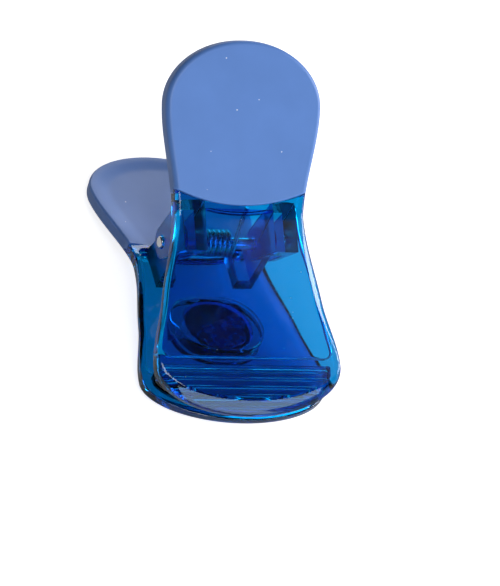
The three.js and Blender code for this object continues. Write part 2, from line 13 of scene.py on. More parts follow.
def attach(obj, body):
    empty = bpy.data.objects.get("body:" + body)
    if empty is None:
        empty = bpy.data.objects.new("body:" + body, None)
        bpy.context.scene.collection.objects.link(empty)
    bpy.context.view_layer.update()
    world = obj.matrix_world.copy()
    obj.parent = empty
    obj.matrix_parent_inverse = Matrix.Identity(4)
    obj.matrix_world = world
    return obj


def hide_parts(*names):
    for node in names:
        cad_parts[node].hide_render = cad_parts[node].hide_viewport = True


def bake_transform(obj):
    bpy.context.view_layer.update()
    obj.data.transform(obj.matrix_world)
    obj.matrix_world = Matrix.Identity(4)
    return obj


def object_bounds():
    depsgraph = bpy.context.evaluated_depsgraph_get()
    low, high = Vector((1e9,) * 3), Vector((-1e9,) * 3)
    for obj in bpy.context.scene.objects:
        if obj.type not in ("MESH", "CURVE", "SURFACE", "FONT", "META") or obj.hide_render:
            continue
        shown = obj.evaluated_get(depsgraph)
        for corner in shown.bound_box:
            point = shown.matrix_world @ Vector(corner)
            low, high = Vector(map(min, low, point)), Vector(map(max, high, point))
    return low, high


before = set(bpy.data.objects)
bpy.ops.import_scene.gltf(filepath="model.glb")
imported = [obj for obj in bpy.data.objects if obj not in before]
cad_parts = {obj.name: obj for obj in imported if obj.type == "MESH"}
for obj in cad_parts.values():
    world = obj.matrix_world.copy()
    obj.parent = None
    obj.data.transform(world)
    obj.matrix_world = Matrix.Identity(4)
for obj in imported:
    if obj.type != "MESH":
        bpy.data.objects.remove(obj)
cad_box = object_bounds()

MM = 0.001

# Photograph: size in pixels, scale at the aim point, and where the camera stands
IMAGE_HEIGHT = 586
PIXELS_PER_METRE = 3991.0
AIM = Vector((6.959, 3.069, 14.842)) * MM
CAMERA_DISTANCE = 1.3337
CAMERA_AZIMUTH = math.radians(-31.49)
CAMERA_ELEVATION = math.radians(39.75)
CAMERA_ROLL = math.radians(22.667)
SENSOR = 36.0
CAMERA_NEAR = 0.1
CAMERA_FAR = 20.0

# Clearances
SEAT_GAP = 0.3
GRIP_SEAM = 0.18
LUG_PLAY = 0.5

# Lever outline, measured on the flat outer face: along from the jaw tip, half widths across
LEVER_LENGTH = 93.9
JAW_HALF_WIDTH = 24.85
JAW_CORNER_ALONG = 12.2
FLANK_HALF_WIDTH = 21.45
FLANK_ALONG = 29.6
FLANK_TAPER = -0.15
NECK_HALF_WIDTH = 17.45
NECK_ALONG = 50.8
HEAD_HALF_WIDTH = 21.0
HEAD_ALONG = 77.6

# Side view of a lever
JAW_HALF_ANGLE = math.radians(13.1)
HANDLE_HALF_ANGLE = math.radians(27.9)
TIP_HALF_THICKNESS = 4.2
BEND_LENGTH = 2.6

# Lever walls and edges
LEVER_DEPTH = 3.6
FACE_SKIN = 1.4
RIM_WALL = 1.5
EDGE_ROUND = 1.3
RIM_ROUND = 0.5
TIP_ROUND_LENGTH = 3.95
TIP_ROUND_DEPTH = 2.1
BEVEL_PART = 0.5
BEVEL_OUT = 0.8
BEVEL_DOWN = 0.76
BEVEL_CROWN = 0.14
FLANK_ROUND_LENGTH = 6.0
FLANK_ROUND_DEPTH = 2.4
HOLLOW_MARGIN = 1.4
HOLLOW_CORNER = 2.2
HOLLOW_FILLET = 0.6
HEEL_REACH = 5.0
HEEL_SKIN = 0.35
SUPPORT = 0.35

# Jaw lands
LAND_ALONG = 13.0
LAND_SHELF = 1.4
LAND_INSET = 2.0
LAND_CORNER = 2.6
LAND_CHAMFER = 0.5
GROOVE_COUNT = 5
GROOVE_PITCH = 2.23
GROOVE_START = 4.35
GROOVE_RADIUS = 0.42

# Grips over the handle heads
SEAM_PAST_NECK = 2.0
SEAM_RADIUS = 44.0
SEAM_SOFT = 0.6
INNER_SEAM_STEP = 2.7
LAYER_LAP = 0.02
SEAM_RIM_LAP = 0.001
GRIP_DEPTH = 4.0
DISH_DEPTH = 0.55
DISH_RIM = 1.0
DISH_SLOPE = 5.0
GRIP_SKIN = 0.95
TONGUE_THICKNESS = 1.0
TONGUE_HALF_WIDTH = 12.6
TONGUE_MARGIN = 7.4
TONGUE_ROOT_LAP = 0.6

# Hinge
HINGE_HEIGHT = 48.9
PIN_DIAMETER = 3.0
PIN_PROUD = 0.8
PIN_ROUND = 0.4
LUG_THICKNESS = 1.9
LUG_INNER_THICKNESS = 1.4
LUG_WALL = 2.5
LUG_SOFT = 0.22
REAR_LUG_ACROSS = 12.05
REAR_LUG_REACH = 7.6
FRONT_LUG_REACH = 9.3
REAR_BLOCK_WIDTH = 5.2
REAR_BLOCK_PART = 0.3
FRONT_BLOCK_PART = 0.45
LUG_FOOT_MARGIN = 0.9
LUG_ROOT = 0.7

# Torsion spring, wound close on the pin
SPRING_WIRE = 1.18
SPRING_PITCH = 1.3
SPRING_TURNS = 5
SPRING_CENTRE = -0.6
SPRING_PLAY = 0.85
SPRING_FOOT_MARGIN = 0.4
SPRING_SIDES = 20
WIRE_END_SHARE = 0.25
LEG_STEPS = 12
COIL_STEP = math.radians(9)

# Magnet and its housing in the rear lever
MAGNET_DIAMETER = 17.5
MAGNET_THICKNESS = 4.5
MAGNET_ALONG = 29.7
MAGNET_ROUND = 0.4
ADHESIVE_THICKNESS = 0.4
CUTTER_ROUND = 0.1
HOUSING_SIDE_WALL = 2.95
HOUSING_END_WALL = 0.7
HOUSING_FLOOR = 1.4
HOUSING_RECESS = 0.6
HOUSING_BEVEL = 0.5

# Pressed dab of adhesive: wavy rim, one wiped side and bubbles
DAB_SEED = 5
DAB_MARGIN = 1.2
DAB_WAVE = 0.35
DAB_WAVE_COUNTS = (2, 3, 5, 7)
DAB_SIDE = math.radians(120)
DAB_WIPED = 1.2
DAB_FOOT = 0.05
DAB_HEADROOM = 0.08
DAB_ROUND = 0.25
BUBBLE_COUNT = 8
BUBBLE_REACH = 6.0
BUBBLE_RADII = (0.15, 0.4)
BUBBLE_SIDES = 24
BUBBLE_FLOOR = 0.1
BUBBLE_PROUD = 0.2
BUBBLE_ROUND = 0.2

# Steps of round stretches
CORNER_STEPS = 36
FLANK_STEPS = 40
BEND_STEPS = 8
HANDLE_STEPS = 16
HEAD_STEPS = 44
ROUND_STEPS = 12
FILLET_STEPS = 8
SOFT_STEPS = 3
EYE_STEPS = 36
ROUND_SIDES = 96
TOUCH_STEPS = 6
LEAST_MITRE = 0.5

# Finish: what is merged, folds that stay sharp, flats that keep their own shading, and folds that wear
MERGE_DISTANCE = 0.002
LEAST_EDGE = 0.001
SHARP_ANGLE = math.radians(32)
FLAT_ANGLE = math.radians(4.5)
FLAT_SHARE = 30
WORN_ANGLE = math.radians(14)

# Clear plastic of the shells; sizes and heights of marks are in millimetres
SHELL_TINT = (0.003, 0.42, 1.0)
SHELL_ABSORBED = (0.0, 0.88, 0.897)
SHELL_DENSITY = 450.0
SHELL_IOR = 1.5
SHELL_ROUGHNESS = 0.03
SHELL_PATCH_SIZE = 6.0
SHELL_PATCH_ROUGHNESS = (0.015, 0.05)
WAVE_SIZE = 9.0
WAVE_HEIGHT = 0.012
HAIR_SIZE = 0.05
HAIR_STRETCH = (60.0, 1.0, 90.0)
HAIR_LEVELS = (0.62, 0.7)
HAIR_ROUGHNESS = 0.05
HAIR_HEIGHT = 0.0006
FROST_FACING = 0.98
FROST_ROUGHNESS = 0.26

# Satin plastic of the grips
GRIP_COLOUR = (0.094, 0.214, 0.56)
GRIP_IOR = 1.46
GRIP_ROUGHNESS = 0.42
GRIP_DEEP = 0.97
GRIP_PALE = (1.05, 0.01)
GRIP_CLOUD_SIZE = 14.0
GRIP_CLOUD_ROUGHNESS = (0.44, 0.38)
WORN_COLOUR = (1.25, 0.02)
WORN_LEVELS = (0.6, 1.0)
WORN_PATCH_SIZE = 0.8
WORN_PATCH_LEVELS = (0.35, 0.6)
WORN_PATCH_SHARES = (0.3, 1.0)
WORN_POLISH = 0.1
GRIP_GRAIN_SIZE = 0.12
GRIP_GRAIN_HEIGHT = 0.004
SINK_SIZE = 7.0
SINK_HEIGHT = 0.01

# Dust: spacing and radius of the specks, and the share of places that have one
SHELL_DUST = (3.0, 0.14, 0.22)
SHELL_DUST_COLOUR = (0.75, 0.9, 1.0)
GRIP_DUST = (3.2, 0.17, 0.4)
GRIP_DUST_COLOUR = (0.7, 0.75, 0.85)
DUST_ROUGHNESS = 0.6

# Steel of the pin and the spring
PIN_COLOUR = (0.75, 0.75, 0.76)
PIN_ROUGHNESS = 0.18
PIN_MARK_SIZE = 0.12
PIN_MARK_STRETCH = (1.0, 40.0, 40.0)
WIRE_COLOUR = (0.6, 0.6, 0.62)
WIRE_ROUGHNESS = 0.24
WIRE_MARK_SIZE = 0.08
WIRE_MARK_STRETCH = (1.0, 8.0, 8.0)
MARK_HEIGHT = 0.004
MARK_SMOOTH = 0.7
MARK_ROUGH = 1.4
STAIN_SIZE = 2.5
STAIN_LEVELS = (0.4, 0.7)
STAIN_DULL = 0.8

# Sintered ferrite of the magnet
FERRITE_COLOUR = (0.02, 0.021, 0.025)
FERRITE_ROUGHNESS = 0.55
FERRITE_DARK = (0.022, 0.02, 0.028)
FERRITE_RUBBED = (0.04, 0.038, 0.048)
RUBBED_SIZE = 5.0
RUBBED_LEVELS = (0.35, 0.75)
RUBBED_ROUGHNESS = (0.6, 0.48)
SINTER_SIZE = 0.15
SINTER_HEIGHT = 0.015
PITS = (1.1, 0.12, 0.3)
PIT_DEPTH = 0.05

# Dried adhesive
GLUE_COLOUR = (0.6, 0.66, 0.7)
GLUE_ROUGHNESS = 0.2
GLUE_IOR = 1.48
GLUE_CLEARNESS = 0.6
GLUE_CLEAR = (0.35, 0.4, 0.45)
GLUE_MILKY = (0.75, 0.8, 0.84)
MILKY_SIZE = 2.0
MILKY_LEVELS = (0.4, 0.65)
MILKY_ROUGHNESS = (0.12, 0.4)
RIPPLE_SIZE = 1.6
RIPPLE_HEIGHT = 0.02

# Noise: its full and middle range, its even stretch, and how much detail it has
FULL = (0.0, 1.0)
MIDDLE = (0.3, 0.7)
EVEN = (1.0, 1.0, 1.0)
PLAIN = 1.0
MIXED = 2.0
FINE = 3.0

# Table: radius and rise of its rings in metres, its glow, and the gap under the clip in millimetres
FLOOR_RINGS = [(1.2, 0.0), (1.6, 0.02), (2.0, 0.1), (2.3, 0.24), (2.5, 0.45)]
FLOOR_COLOUR = (0.70, 0.70, 0.705)
FLOOR_SEEN = 0.85
FLOOR_MIRRORED = 0.18
FLOOR_GAP = 0.02

# Light: tints, and how bright the room is
WHITE = (1.0, 1.0, 1.0)
SKY_TINT = (0.62, 0.86, 1.0)
ROOM_LIGHT = 0.03

PIN_RADIUS = PIN_DIAMETER / 2
BORE_RADIUS = PIN_RADIUS + SEAT_GAP
LUG_RADIUS = BORE_RADIUS + LUG_WALL
REAR_LUG_OUTER = REAR_LUG_ACROSS + LUG_THICKNESS / 2
REAR_LUG_INNER = REAR_LUG_ACROSS - LUG_THICKNESS / 2
FRONT_LUG_OUTER = REAR_LUG_OUTER + LUG_PLAY + LUG_THICKNESS
FRONT_LUG_INNER = REAR_LUG_INNER - LUG_PLAY - LUG_INNER_THICKNESS
PIN_HALF_LENGTH = FRONT_LUG_OUTER + PIN_PROUD
BEND_START = NECK_ALONG - BEND_LENGTH / 2
BEND_END = NECK_ALONG + BEND_LENGTH / 2
SEAM_ALONG = NECK_ALONG + SEAM_PAST_NECK
INNER_SEAM_ALONG = SEAM_ALONG + INNER_SEAM_STEP
HOLLOW_END = SEAM_ALONG - HOLLOW_MARGIN
TONGUE_END = LEVER_LENGTH - TONGUE_MARGIN
POCKET_RADIUS = MAGNET_DIAMETER / 2 + SEAT_GAP
POCKET_DEPTH = MAGNET_THICKNESS + SEAT_GAP + ADHESIVE_THICKNESS + SEAT_GAP
TONGUE_DEPTH = GRIP_SKIN + SEAT_GAP
SEAM_DEPTH = TONGUE_DEPTH + TONGUE_THICKNESS / 2
HEEL_DEPTH = TONGUE_DEPTH + TONGUE_THICKNESS + HEEL_SKIN


def lerp(a, b, part):
    return a + (b - a) * part


def clamp(value):
    return min(max(value, 0.0), 1.0)


def quarter(steps):
    """Angles of a quarter turn, both ends with it."""
    return [math.pi / 2 * i / steps for i in range(steps + 1)]


def basis(origin, x_axis, y_axis, z_axis):
    return Matrix.Translation(origin) @ Matrix((x_axis, y_axis, z_axis)).transposed().to_4x4()


def moved(shape, matrix):
    vertices, faces = shape
    flip = matrix.determinant() < 0
    return [matrix @ v for v in vertices], [tuple(reversed(f)) if flip else f for f in faces]


# Lever frame: a place by its distance across, along the outer face from the tip, and inward


def lever_point(across, along, inward):
    bend = HANDLE_HALF_ANGLE - JAW_HALF_ANGLE
    radius = BEND_LENGTH / bend
    straight = min(along, BEND_START)
    angle = JAW_HALF_ANGLE + bend * clamp((along - BEND_START) / BEND_LENGTH)
    past = max(along - BEND_END, 0.0)
    y = TIP_HALF_THICKNESS + straight * math.sin(JAW_HALF_ANGLE) + past * math.sin(HANDLE_HALF_ANGLE)
    y += radius * (math.cos(JAW_HALF_ANGLE) - math.cos(angle))
    z = straight * math.cos(JAW_HALF_ANGLE) + past * math.cos(HANDLE_HALF_ANGLE)
    z += radius * (math.sin(angle) - math.sin(JAW_HALF_ANGLE))
    return Vector((across, y - inward * math.cos(angle), z + inward * math.sin(angle)))


def hermite(along, start, end):
    """Smooth half width between two stations, each given by its along, half width and taper."""
    span = end[0] - start[0]
    s = (along - start[0]) / span
    width = start[1] * (1 + 2 * s) * (1 - s) ** 2 + end[1] * s * s * (3 - 2 * s)
    return width + span * s * (1 - s) * (start[2] * (1 - s) - end[2] * s)


def half_width(along):
    jaw = (JAW_CORNER_ALONG, JAW_HALF_WIDTH, 0.0)
    flank = (FLANK_ALONG, FLANK_HALF_WIDTH, FLANK_TAPER)
    neck = (NECK_ALONG, NECK_HALF_WIDTH, 0.0)
    head = (HEAD_ALONG, HEAD_HALF_WIDTH, 0.0)
    if along < JAW_CORNER_ALONG:
        return JAW_HALF_WIDTH * math.sqrt(1 - (1 - along / JAW_CORNER_ALONG) ** 2)
    if along < FLANK_ALONG:
        return hermite(along, jaw, flank)
    if along < NECK_ALONG:
        return hermite(along, flank, neck)
    if along < HEAD_ALONG:
        return hermite(along, neck, head)
    past = (along - HEAD_ALONG) / (LEVER_LENGTH - HEAD_ALONG)
    return HEAD_HALF_WIDTH * math.sqrt(max(0.0, 1 - past * past))


def jaw_side():
    """Right half of the outline, from the middle of the jaw tip."""
    turns = quarter(CORNER_STEPS)
    return [[JAW_HALF_WIDTH * math.sin(t), JAW_CORNER_ALONG * (1 - math.cos(t))] for t in turns]


def flank_side(start, end, steps):
    """Points of the outline after start, up to and with end."""
    stations = [lerp(start, end, i / steps) for i in range(1, steps + 1)]
    return [[half_width(along), along] for along in stations]


def head_side():
    rise = LEVER_LENGTH - HEAD_ALONG
    turns = quarter(HEAD_STEPS)[1:]
    return [[HEAD_HALF_WIDTH * math.cos(t), HEAD_ALONG + rise * math.sin(t)] for t in turns]


def loop_of(side):
    """A closed loop from its right half, whose first and last points are on the middle line."""
    left = [[-across, along] for across, along in reversed(side[1:-1])]
    loop = [list(point) for point in side] + left
    loop[0][0] = 0.0
    loop[len(side) - 1][0] = 0.0
    return loop


def inward_normals(loop):
    normals = []
    for i, point in enumerate(loop):
        here = Vector(point)
        into = (here - Vector(loop[i - 1])).normalized()
        out = (Vector(loop[(i + 1) % len(loop)]) - here).normalized()
        normal = Vector((-into.y - out.y, into.x + out.x)).normalized()
        normals.append(normal / max(normal.dot(Vector((-out.y, out.x))), LEAST_MITRE))
    return normals


def ring_faces(first, second, count):
    """Quads between two rings of vertices that start at those numbers."""
    steps = [(i, (i + 1) % count) for i in range(count)]
    return [(first + i, first + k, second + k, second + i) for i, k in steps]


def plate(loop, rings):
    """A closed plate through offset copies of a loop; each ring gives its inset and depth at an along."""
    normals = inward_normals(loop)
    count = len(loop)
    half = count // 2
    vertices = []
    for ring in rings:
        for (across, along), normal in zip(loop, normals):
            inset, depth = ring(along)
            place = along + normal.y * inset
            inward = depth(place) if callable(depth) else depth
            vertices.append(lever_point(across + normal.x * inset, place, inward))
    faces = []
    for r in range(len(rings) - 1):
        faces += ring_faces(r * count, (r + 1) * count, count)
    last = (len(rings) - 1) * count
    for i in range(half):
        corners = [i, (count - i) % count, count - i - 1, i + 1]
        if i == 0:
            corners.pop(0)
        elif i == half - 1:
            corners.pop(2)
        faces.append(tuple(corners))
        faces.append(tuple(last + k for k in reversed(corners)))
    return vertices, faces


def stack(outline, levels, place):
    """A closed body from inset copies of an outline; each level gives its height and inset."""
    normals = inward_normals(outline)
    count = len(outline)
    vertices = []
    for height, inset in levels:
        for (u, v), normal in zip(outline, normals):
            vertices.append(place(u + normal.x * inset, v + normal.y * inset, height))
    faces = [tuple(range(count - 1, -1, -1))]
    for r in range(len(levels) - 1):
        faces += ring_faces(r * count, (r + 1) * count, count)
    last = (len(levels) - 1) * count
    faces.append(tuple(range(last, last + count)))
    return vertices, faces


def soft_levels(low, high, soft, steps):
    """Levels of a body whose two rims are rounded by that much."""
    rim = [(soft * (1 - math.cos(t)), soft * (1 - math.sin(t))) for t in quarter(steps)]
    below = [(low + rise, inset) for rise, inset in rim]
    above = [(high - rise, inset) for rise, inset in reversed(rim)]
    return below + above


def circle(radius, sides):
    turns = [2 * math.pi * k / sides for k in range(sides)]
    return [(radius * math.cos(t), radius * math.sin(t)) for t in turns]


def bar(outline, low, high, soft):
    """A bar along X over an outline in the side view, which runs anticlockwise seen from +X."""
    return stack(outline, soft_levels(low, high, soft, SOFT_STEPS), lambda y, z, x: Vector((x, y, z)))


def rod(radius, half_length, soft, centre_y, centre_z, sides):
    outline = [(centre_y + y, centre_z + z) for y, z in circle(radius, sides)]
    return bar(outline, -half_length, half_length, soft)


# Edges of a plate


def edge_shape(along):
    """Length, depth and crease of the outer edge, which is creased at the tip and soft on the flank."""
    tip = max(0.0, 1 - along / JAW_CORNER_ALONG)
    run = clamp((along - JAW_CORNER_ALONG) / (NECK_ALONG - JAW_CORNER_ALONG))
    flank = math.sin(math.pi * run) ** 2
    length = EDGE_ROUND + (TIP_ROUND_LENGTH - EDGE_ROUND) * tip
    length += (FLANK_ROUND_LENGTH - EDGE_ROUND) * flank
    depth = EDGE_ROUND + (TIP_ROUND_DEPTH - EDGE_ROUND) * tip
    depth += (FLANK_ROUND_DEPTH - EDGE_ROUND) * flank
    return length, depth, math.sqrt(tip)


def bevel(part):
    """Slightly crowned bevel and the tight rounding after it, as shares of the edge's size."""
    if part < BEVEL_PART:
        run = part / BEVEL_PART
        return BEVEL_OUT * run, BEVEL_DOWN * run * (1 - BEVEL_CROWN * (1 - run))
    run = (part - BEVEL_PART) / (1 - BEVEL_PART)
    out = lerp(lerp(BEVEL_OUT, 1.0, run), 1.0, run)
    corner = BEVEL_DOWN / BEVEL_OUT
    return out, lerp(lerp(BEVEL_DOWN, corner, run), lerp(corner, 1.0, run), run)


def outer_ring(part):
    turn = math.pi / 2 * part

    def at(along):
        length, depth, creased = edge_shape(along)
        out, down = bevel(part)
        out = lerp(math.sin(turn), out, creased)
        return length * (1 - out), depth * lerp(1 - math.cos(turn), down, creased)
    return at


def outer_edge():
    support = [lambda along: (edge_shape(along)[0] + SUPPORT, 0.0)]
    return support + [outer_ring(i / ROUND_STEPS) for i in range(ROUND_STEPS + 1)]


def level(inset, depth):
    return lambda along: (inset, depth)


def rounded_rings(soft, depth, steps):
    """A rounding that widens inward from that depth."""
    return [level(soft * (1 - math.sin(t)), depth + soft * (1 - math.cos(t))) for t in quarter(steps)]


def inner_edge(depth, soft):
    turns = quarter(FILLET_STEPS)
    rings = [level(soft * (1 - math.cos(t)), depth - soft * (1 - math.sin(t))) for t in turns]
    return rings + [level(soft + SUPPORT, depth)]


def inset_side(start, end, inset, corner, steps):
    """Right half of a pocket that keeps an even distance from the outline, with rounded corners."""
    side = [[0.0, start]]
    for turn in quarter(FILLET_STEPS):
        across = half_width(start + corner) - inset - corner * (1 - math.sin(turn))
        side.append([across, start + corner * (1 - math.cos(turn))])
    for i in range(1, steps):
        along = lerp(start + corner, end - corner, i / steps)
        side.append([half_width(along) - inset, along])
    for turn in quarter(FILLET_STEPS):
        across = half_width(end - corner) - inset - corner * (1 - math.cos(turn))
        side.append([across, end - corner * (1 - math.sin(turn))])
    side.append([0.0, end])
    return side


# Shell of a lever: a rounded plate, hollowed from inside between the jaw land and the grip


def shell_plate():
    end = INNER_SEAM_ALONG + EDGE_ROUND
    side = jaw_side() + flank_side(JAW_CORNER_ALONG, BEND_START, FLANK_STEPS)
    side += flank_side(BEND_START, BEND_END, BEND_STEPS) + flank_side(BEND_END, end, SOFT_STEPS)
    side.append([0.0, end + EDGE_ROUND])
    return plate(loop_of(side), outer_edge() + inner_edge(LEVER_DEPTH, RIM_ROUND))


def hollow():
    side = inset_side(LAND_ALONG + LAND_SHELF, HOLLOW_END, RIM_WALL, HOLLOW_CORNER, FLANK_STEPS)
    middle = side.pop()
    corner = side[-1][0]
    side += [[corner * (1 - i / BEND_STEPS), HOLLOW_END] for i in range(1, BEND_STEPS)]
    side.append(middle)
    bowed = []
    for across, along in side:
        near = min(across, TONGUE_HALF_WIDTH)
        rise = SEAM_RADIUS - math.sqrt(SEAM_RADIUS ** 2 - near ** 2)
        bowed.append([across, along + rise * clamp(1 - (HOLLOW_END - along) / HOLLOW_CORNER)])

    def fillet(turn, support=0.0):
        def at(along):
            length, depth, _ = edge_shape(along)
            wide = max(HOLLOW_FILLET, length - RIM_WALL)
            deep = max(HOLLOW_FILLET, depth - FACE_SKIN)
            return wide * (1 - math.sin(turn)) + support, FACE_SKIN + deep * (1 - math.cos(turn))
        return at

    rings = [fillet(0.0, SUPPORT)] + [fillet(t) for t in quarter(FILLET_STEPS)]
    return plate(loop_of(bowed), rings + [level(0.0, LEVER_DEPTH + RIM_ROUND)])


def heel():
    """Shallow heel of the hollow, between the lugs and the grip's end wall."""
    start = HOLLOW_END - HEEL_REACH
    end = INNER_SEAM_ALONG - RIM_WALL
    side = inset_side(start, end, RIM_WALL, HOLLOW_CORNER, BEND_STEPS)
    rings = rounded_rings(HOLLOW_FILLET, HEEL_DEPTH, SOFT_STEPS)
    return plate(loop_of(side), rings + [level(0.0, LEVER_DEPTH + RIM_ROUND)])


def land_depth(along):
    """Depth at which the lands of the two jaws face each other, half a seat gap from the middle plane."""
    rise = TIP_HALF_THICKNESS + along * math.sin(JAW_HALF_ANGLE) - SEAT_GAP / 2
    return rise / math.cos(JAW_HALF_ANGLE)


def jaw_land():
    side = [point for point in jaw_side() if point[1] < LAND_ALONG - LAND_CORNER]
    edge = half_width(LAND_ALONG - LAND_CORNER)
    for turn in quarter(FILLET_STEPS):
        along = LAND_ALONG - LAND_CORNER * (1 - math.sin(turn)) + LAND_INSET
        side.append([edge - LAND_CORNER * (1 - math.cos(turn)), along])
    side.append([0.0, LAND_ALONG + LAND_INSET])

    def rounding(turn):
        drop = LAND_CHAMFER * (1 - math.sin(turn))
        inset = LAND_INSET + LAND_CHAMFER * (1 - math.cos(turn))
        return lambda along: (inset, lambda place: land_depth(place) - drop)

    rings = [level(LAND_INSET, LEVER_DEPTH - RIM_ROUND)] + [rounding(t) for t in quarter(SOFT_STEPS)]
    return plate(loop_of(side), rings)


def grooves():
    heights = [GROOVE_START + i * GROOVE_PITCH for i in range(GROOVE_COUNT)]
    return [rod(GROOVE_RADIUS, JAW_HALF_WIDTH, CUTTER_ROUND, SEAT_GAP / 2, z, EYE_STEPS) for z in heights]


def tongue(clearance):
    """Tongue of the shell, on which the grip sits; the clearance turns it into the grip's pocket."""
    radius = TONGUE_HALF_WIDTH + clearance
    centre = TONGUE_END - TONGUE_HALF_WIDTH
    root = HOLLOW_END + TONGUE_ROOT_LAP
    side = [[0.0, root], [radius, root], [radius, SEAM_ALONG]]
    side += [[radius * math.cos(t), centre + radius * math.sin(t)] for t in quarter(HEAD_STEPS)]
    low = TONGUE_DEPTH - clearance
    return plate(loop_of(side), [level(0.0, low), level(0.0, low + TONGUE_THICKNESS + 2 * clearance)])


def grip_sides(clearance, soft=0.0):
    """Two plates that hold all on the grip's side of the seam, with a clearance or a soft rim."""
    far = LEVER_LENGTH + EDGE_ROUND
    wide = HEAD_HALF_WIDTH + EDGE_ROUND
    start = SEAM_ALONG - clearance
    sweep = math.asin(wide / SEAM_RADIUS)
    turns = [sweep * i / HEAD_STEPS for i in range(HEAD_STEPS + 1)]
    arc = [[SEAM_RADIUS * math.sin(t), start + SEAM_RADIUS * (1 - math.cos(t))] for t in turns]
    back = [[wide, far], [0.0, far + EDGE_ROUND]]
    rim = rounded_rings(soft, -SEAM_RIM_LAP, FILLET_STEPS) if soft else []
    rings = [level(soft, -EDGE_ROUND)] + rim + [level(0.0, SEAM_DEPTH + clearance)]
    inner_start = INNER_SEAM_ALONG - clearance
    inner = [[0.0, inner_start], [wide, inner_start]]
    return [
        plate(loop_of(arc + back), rings),
        plate(loop_of(inner + back), [
            level(0.0, SEAM_DEPTH - clearance - LAYER_LAP),
            level(0.0, GRIP_DEPTH + EDGE_ROUND),
        ]),
    ]


def lug_slab(reach, part, inner, outer):
    """A slab of a hinge lug from the lever's wall; with a part of 1 it ends in the eye about the pin."""
    eye = Vector((0, HINGE_HEIGHT))
    stations = [(NECK_ALONG - reach, LUG_ROOT), (NECK_ALONG, LUG_ROOT), (SEAM_ALONG, LUG_ROOT)]
    stations.append((INNER_SEAM_ALONG - LUG_FOOT_MARGIN, SEAM_DEPTH + 2 * SEAT_GAP))
    feet = [lever_point(0, along, depth).yz for along, depth in stations]

    def tangent(point, sense):
        offset = point - eye
        return math.atan2(offset.y, offset.x) + sense * math.acos(LUG_RADIUS / offset.length)

    def on_eye(angle):
        return eye + LUG_RADIUS * Vector((math.cos(angle), math.sin(angle)))

    low = tangent(feet[0], -1)
    high = tangent(feet[-1], 1)
    if part < 1:
        ends = [feet[-1].lerp(on_eye(high), part), feet[0].lerp(on_eye(low), part)]
    else:
        sweep = (low - high) % (2 * math.pi)
        ends = [on_eye(high + sweep * i / EYE_STEPS) for i in range(EYE_STEPS + 1)]
    return bar(feet + ends, inner, outer, LUG_SOFT)


def both_sides(slabs):
    return slabs + [moved(slab, Matrix.Diagonal((-1, 1, 1, 1))) for slab in slabs]


def rear_lugs():
    return both_sides([
        lug_slab(REAR_LUG_REACH, 1, REAR_LUG_INNER, REAR_LUG_OUTER),
        lug_slab(REAR_LUG_REACH, REAR_BLOCK_PART, REAR_LUG_OUTER - REAR_BLOCK_WIDTH, REAR_LUG_OUTER),
    ])


def front_lugs():
    return both_sides([
        lug_slab(FRONT_LUG_REACH, 1, FRONT_LUG_OUTER - LUG_THICKNESS, FRONT_LUG_OUTER),
        lug_slab(FRONT_LUG_REACH, 1, FRONT_LUG_INNER, FRONT_LUG_INNER + LUG_INNER_THICKNESS),
        lug_slab(FRONT_LUG_REACH, FRONT_BLOCK_PART, FRONT_LUG_INNER, FRONT_LUG_OUTER),
    ])


# Rest plane behind the rear lever, which touches the bevelled jaw tip and the rounded head


def edge_touch(length, depth, tilt):
    reach = math.hypot(length * math.sin(tilt), depth * math.cos(tilt))
    return length * length * math.sin(tilt) / reach, depth - depth * depth * math.cos(tilt) / reach


def rest_plane():
    """The plane's angle from upright, and where it touches the tip."""
    angle = (JAW_HALF_ANGLE + HANDLE_HALF_ANGLE) / 2
    for _ in range(TOUCH_STEPS):
        past, under = edge_touch(TIP_ROUND_LENGTH, TIP_ROUND_DEPTH, angle - JAW_HALF_ANGLE)
        touch = lever_point(0, TIP_ROUND_LENGTH - past, under)
        past, under = edge_touch(EDGE_ROUND, EDGE_ROUND, HANDLE_HALF_ANGLE - angle)
        head = lever_point(0, LEVER_LENGTH - EDGE_ROUND + past, under)
        angle = math.atan2(head.y - touch.y, head.z - touch.z)
    return angle, touch


REST_ANGLE, REST_TOUCH = rest_plane()
REST_ALONG = Vector((0, math.sin(REST_ANGLE), math.cos(REST_ANGLE)))
REST_UP = Vector((0, -math.cos(REST_ANGLE), math.sin(REST_ANGLE)))
MAGNET_FOOT = lever_point(0, MAGNET_ALONG, 0)
MAGNET_CENTRE = MAGNET_FOOT - REST_UP * (MAGNET_FOOT - REST_TOUCH).dot(REST_UP)
REST_TO_CLIP = basis(MAGNET_CENTRE, Vector((1, 0, 0)), REST_ALONG, REST_UP)
CLIP_TO_FRAME = Matrix.Scale(MM, 4) @ REST_TO_CLIP.inverted()
MIRROR = Matrix.Diagonal((1, -1, 1, 1))


def on_rest_plane(outline, levels):
    """A body over an outline about the magnet's centre, with levels up from its outer face."""
    return stack(outline, levels, lambda x, y, z: REST_TO_CLIP @ Vector((x, y, z)))


def disc(radius, low, high, soft):
    return on_rest_plane(circle(radius, ROUND_SIDES), soft_levels(low, high, soft, SOFT_STEPS))


def magnet_housing():
    reach = HOUSING_SIDE_WALL - HOUSING_END_WALL
    outline = []
    for x, y in circle(POCKET_RADIUS + HOUSING_END_WALL, ROUND_SIDES):
        outline.append((x + math.copysign(reach, x), y))
    top = POCKET_DEPTH + HOUSING_FLOOR
    return on_rest_plane(outline, soft_levels(HOUSING_RECESS, top, HOUSING_BEVEL, SOFT_STEPS))


# Torsion spring: one wire from the rear lever, round the pin and out to the front lever


